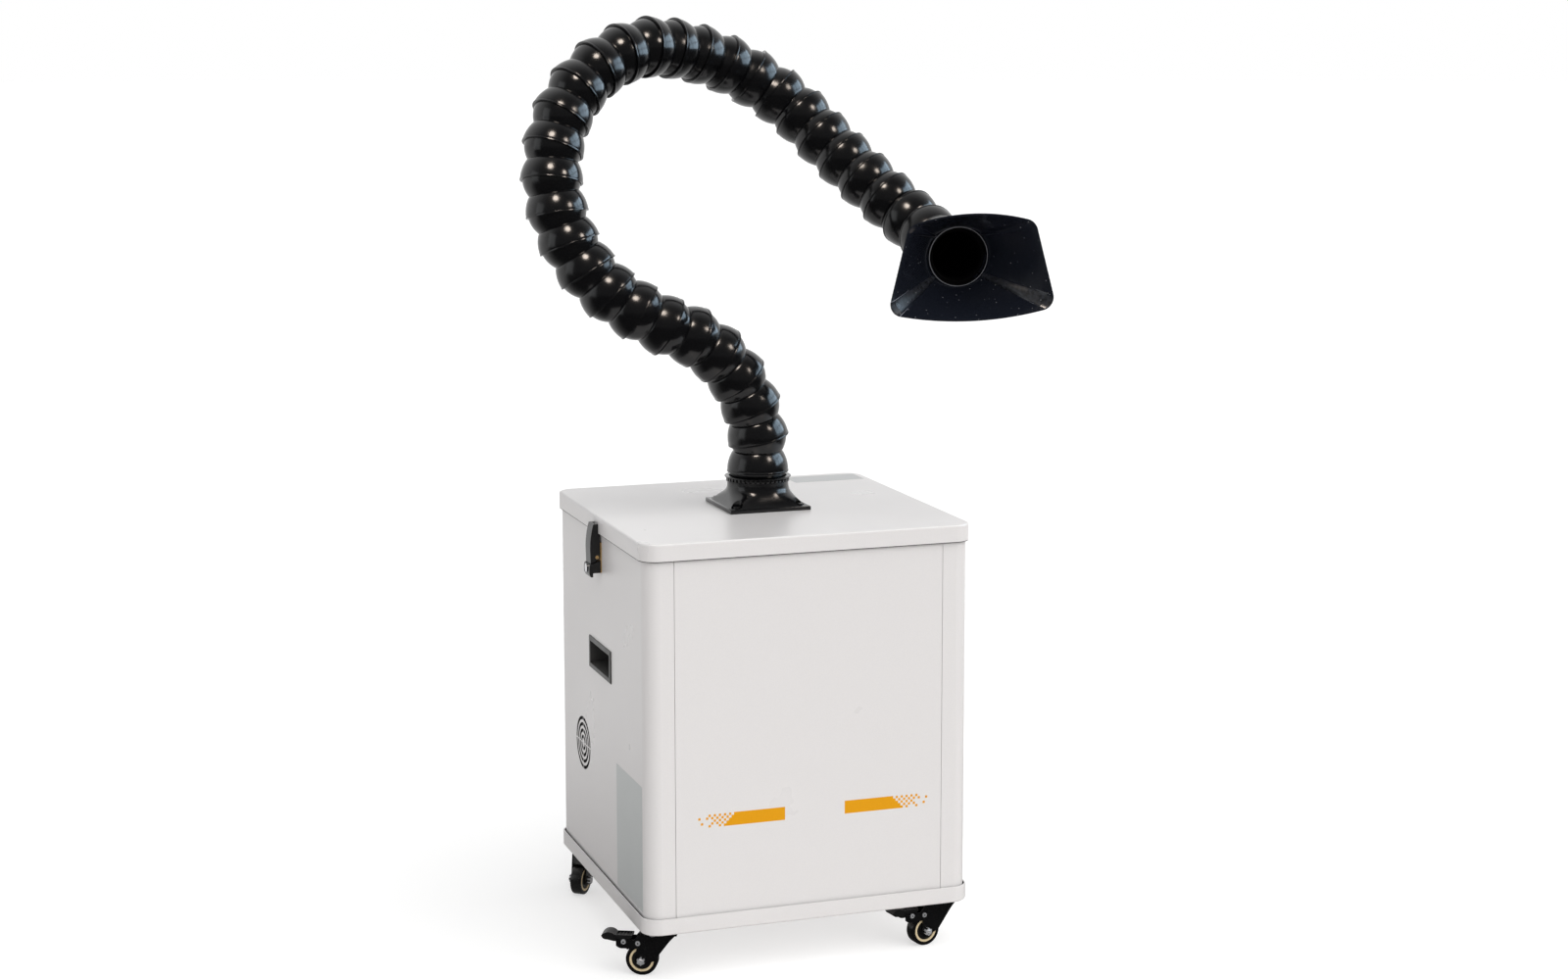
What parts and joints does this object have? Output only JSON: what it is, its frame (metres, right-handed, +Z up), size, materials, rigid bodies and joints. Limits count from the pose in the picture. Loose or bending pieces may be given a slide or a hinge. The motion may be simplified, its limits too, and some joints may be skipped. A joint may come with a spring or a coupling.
{
  "type": "mobile fume purifier",
  "caption": "Wheeled sheet metal fume purifier with a jointed ball and socket extraction arm and a flared hood.",
  "frame": {"origin": "centre of the bounding box of the whole part, at floor level", "axes": "+Z up, -Y out of the cabinet's front panel, towards which the hood points, +X to the right seen from the front"},
  "size_m": [0.608, 0.4612, 1.1756],
  "materials": {
    "cabinet_paint": "satin powder coat, warm light grey",
    "arm_plastic": "gloss black moulded plastic",
    "black_plastic": "matt black moulded plastic",
    "handle_plastic": "matt grey moulded plastic",
    "caster_black": "semi gloss black enamel on pressed steel",
    "zinc_steel": "bright zinc plate",
    "tyre_rubber": "smooth black",
    "hub_nylon": "cream nylon",
    "gasket_foam": "closed cell foam",
    "carbon_grain": "carbon block in a grid",
    "filter_paper": "filter paper",
    "motor_aluminium": "cast",
    "latch_brass": "worn",
    "latch_chrome": "polished"
  },
  "bodies": {
    "cabinet": {"base_pan": "cabinet_paint", "left_side_panel": "cabinet_paint", "right_side_panel": "cabinet_paint", "front_panel": "cabinet_paint", "rear_panel": "cabinet_paint", "panel_screws": "zinc_steel", "motor_deck": "cabinet_paint", "carbon_filter": "carbon_grain", "hepa_filter": "filter_paper", "pre_filter": "filter_paper", "left_handle_cup": "handle_plastic", "right_handle_cup": "handle_plastic", "blower_housing": "cabinet_paint", "blower_motor": "motor_aluminium", "power_inlet": "black_plastic", "switch_frame": "black_plastic", "speed_control": "black_plastic", "latch_plates": "latch_brass", "latch_blocks": "black_plastic", "latch_locks": "latch_chrome", "caster_plates": "caster_black", "caster_bolts": "zinc_steel"},
    "lid_assembly": {"lid": "cabinet_paint", "lid_gasket": "gasket_foam", "arm_flange": "arm_plastic", "flange_clamp_ring": "arm_plastic", "flange_screws": "zinc_steel", "latch_keepers": "latch_chrome"},
    "arm_01": {"arm_section_01": "arm_plastic"},
    "arm_02": {"arm_section_02": "arm_plastic"},
    "arm_03": {"arm_section_03": "arm_plastic"},
    "arm_04": {"arm_section_04": "arm_plastic"},
    "arm_05": {"arm_section_05": "arm_plastic"},
    "arm_06": {"arm_section_06": "arm_plastic"},
    "arm_07": {"arm_section_07": "arm_plastic"},
    "arm_08": {"arm_section_08": "arm_plastic"},
    "arm_09": {"arm_section_09": "arm_plastic"},
    "arm_10": {"arm_section_10": "arm_plastic"},
    "arm_11": {"arm_section_11": "arm_plastic"},
    "collar": {"hood_collar": "arm_plastic"},
    "hood": {"hood": "arm_plastic"},
    "blower_rotor": {"blower_impeller": "black_plastic"},
    "rocker": {"switch_rocker": "black_plastic"},
    "knob": {"speed_knob": "black_plastic"},
    "left_latch": {"left_latch_lever": "black_plastic"},
    "right_latch": {"right_latch_lever": "black_plastic"},
    "front_left_fork": {"front_left_caster_fork": "caster_black"},
    "front_left_wheel": {"front_left_caster_tyre": "tyre_rubber", "front_left_caster_hub": "hub_nylon"},
    "front_left_pedal": {"front_left_brake_pedal": "black_plastic"},
    "front_right_fork": {"front_right_caster_fork": "caster_black"},
    "front_right_wheel": {"front_right_caster_tyre": "tyre_rubber", "front_right_caster_hub": "hub_nylon"},
    "front_right_pedal": {"front_right_brake_pedal": "black_plastic"},
    "rear_left_fork": {"rear_left_caster_fork": "caster_black"},
    "rear_left_wheel": {"rear_left_caster_tyre": "tyre_rubber", "rear_left_caster_hub": "hub_nylon"},
    "rear_right_fork": {"rear_right_caster_fork": "caster_black"},
    "rear_right_wheel": {"rear_right_caster_tyre": "tyre_rubber", "rear_right_caster_hub": "hub_nylon"}
  },
  "joints": [
    {"name": "lid_lift", "type": "slide", "parent": "cabinet", "child": "lid_assembly", "axis": [0, 0, 1], "range_m": [0, 0.08]},
    {"name": "arm_swivel", "type": "hinge", "parent": "lid_assembly", "child": "arm_01", "pos_m": [-0.00249, 0.01047, 0.598], "axis": [0, 0, 1], "continuous": true},
    {"name": "arm_bend_01", "type": "hinge", "parent": "arm_01", "child": "arm_02", "pos_m": [-0.01212, 0.00975, 0.67935], "axis": [-0.012, 0.9994, 0.0325], "range_deg": [-6.4, 33.4]},
    {"name": "arm_bend_02", "type": "hinge", "parent": "arm_02", "child": "arm_03", "pos_m": [-0.09094, 0.00366, 0.77156], "axis": [0.3831, -0.0374, 0.923], "range_deg": [-15.7, 13.7]},
    {"name": "arm_bend_03", "type": "hinge", "parent": "arm_03", "child": "arm_04", "pos_m": [-0.19856, 0.00923, 0.83021], "axis": [-0.1712, -0.9817, 0.0837], "range_deg": [-7.9, 31.9]},
    {"name": "arm_bend_04", "type": "hinge", "parent": "arm_04", "child": "arm_05", "pos_m": [-0.25957, 0.03193, 0.93329], "axis": [-0.9753, 0.1749, -0.1348], "range_deg": [-17.5, 14.5]},
    {"name": "arm_bend_05", "type": "hinge", "parent": "arm_05", "child": "arm_06", "pos_m": [-0.24418, 0.05877, 1.05077], "axis": [0.1072, 0.914, -0.3912], "range_deg": [-31.8, 6.8]},
    {"name": "arm_bend_06", "type": "hinge", "parent": "arm_06", "child": "arm_07", "pos_m": [-0.1561, 0.09283, 1.1272], "axis": [0.3409, -0.4495, -0.8257], "range_deg": [-7.2, 26.2]},
    {"name": "arm_bend_07", "type": "hinge", "parent": "arm_07", "child": "arm_08", "pos_m": [-0.04101, 0.13353, 1.12578], "axis": [0.3265, -0.7818, 0.5312], "range_deg": [-10.4, 29.4]},
    {"name": "arm_bend_08", "type": "hinge", "parent": "arm_08", "child": "arm_09", "pos_m": [0.06844, 0.13816, 1.07207], "axis": [0.683, 0.5698, 0.457], "range_deg": [-10.7, 18.7]},
    {"name": "arm_bend_09", "type": "hinge", "parent": "arm_09", "child": "arm_10", "pos_m": [0.14119, 0.08209, 0.99051], "axis": [-0.1401, 0.6837, -0.7162], "range_deg": [-20.3, 19.3]},
    {"name": "arm_bend_10", "type": "hinge", "parent": "arm_10", "child": "arm_11", "pos_m": [0.20641, 0.0095, 0.91448], "axis": [-0.9471, -0.2967, -0.122], "range_deg": [-26.2, 2.2]},
    {"name": "hood_tilt", "type": "hinge", "parent": "arm_11", "child": "collar", "pos_m": [0.21692, -0.10448, 0.87999], "axis": [0.9887, -0.1501, 0], "range_deg": [-20, 20]},
    {"name": "hood_twist", "type": "hinge", "parent": "collar", "child": "hood", "pos_m": [0.21692, -0.10448, 0.87999], "axis": [-0.1497, -0.9856, -0.0781], "continuous": true},
    {"name": "blower_spin", "type": "hinge", "parent": "cabinet", "child": "blower_rotor", "pos_m": [-0.01649, 0.00647, 0.25], "axis": [0, 0, 1], "continuous": true},
    {"name": "power_rocker", "type": "hinge", "parent": "cabinet", "child": "rocker", "pos_m": [-0.03949, 0.21077, 0.132], "axis": [1, 0, 0], "range_deg": [-7, 7]},
    {"name": "speed_turn", "type": "hinge", "parent": "cabinet", "child": "knob", "pos_m": [0.02551, 0.21277, 0.132], "axis": [0, 1, 0], "range_deg": [0, 270]},
    {"name": "left_latch_swing", "type": "hinge", "parent": "cabinet", "child": "left_latch", "pos_m": [-0.22129, 0.00947, 0.4955], "axis": [0, -1, 0], "range_deg": [0, 55]},
    {"name": "right_latch_swing", "type": "hinge", "parent": "cabinet", "child": "right_latch", "pos_m": [0.21231, 0.00947, 0.4955], "axis": [0, 1, 0], "range_deg": [0, 55]},
    {"name": "front_left_swivel", "type": "hinge", "parent": "cabinet", "child": "front_left_fork", "pos_m": [-0.18949, -0.17053, 0.056], "axis": [0, 0, 1], "continuous": true},
    {"name": "front_left_roll", "type": "hinge", "parent": "front_left_fork", "child": "front_left_wheel", "pos_m": [-0.21106, -0.16001, 0.02], "axis": [-0.4384, -0.8988, 0], "continuous": true},
    {"name": "front_left_brake", "type": "hinge", "parent": "front_left_fork", "child": "front_left_pedal", "pos_m": [-0.23083, -0.15037, 0.0432], "axis": [-0.4384, -0.8988, 0], "range_deg": [0, 12]},
    {"name": "front_right_swivel", "type": "hinge", "parent": "cabinet", "child": "front_right_fork", "pos_m": [0.18051, -0.17053, 0.056], "axis": [0, 0, 1], "continuous": true},
    {"name": "front_right_roll", "type": "hinge", "parent": "front_right_fork", "child": "front_right_wheel", "pos_m": [0.15681, -0.17428, 0.02], "axis": [0.1564, -0.9877, 0], "continuous": true},
    {"name": "front_right_brake", "type": "hinge", "parent": "front_right_fork", "child": "front_right_pedal", "pos_m": [0.13508, -0.17773, 0.0432], "axis": [0.1564, -0.9877, 0], "range_deg": [0, 12]},
    {"name": "rear_left_swivel", "type": "hinge", "parent": "cabinet", "child": "rear_left_fork", "pos_m": [-0.18949, 0.18347, 0.056], "axis": [0, 0, 1], "continuous": true},
    {"name": "rear_left_roll", "type": "hinge", "parent": "rear_left_fork", "child": "rear_left_wheel", "pos_m": [-0.20443, 0.16469, 0.02], "axis": [0.7826, -0.6225, 0], "continuous": true},
    {"name": "rear_right_swivel", "type": "hinge", "parent": "cabinet", "child": "rear_right_fork", "pos_m": [0.18051, 0.18347, 0.056], "axis": [0, 0, 1], "continuous": true},
    {"name": "rear_right_roll", "type": "hinge", "parent": "rear_right_fork", "child": "rear_right_wheel", "pos_m": [0.16851, 0.20425, 0.02], "axis": [-0.866, -0.5, 0], "continuous": true}
  ]
}
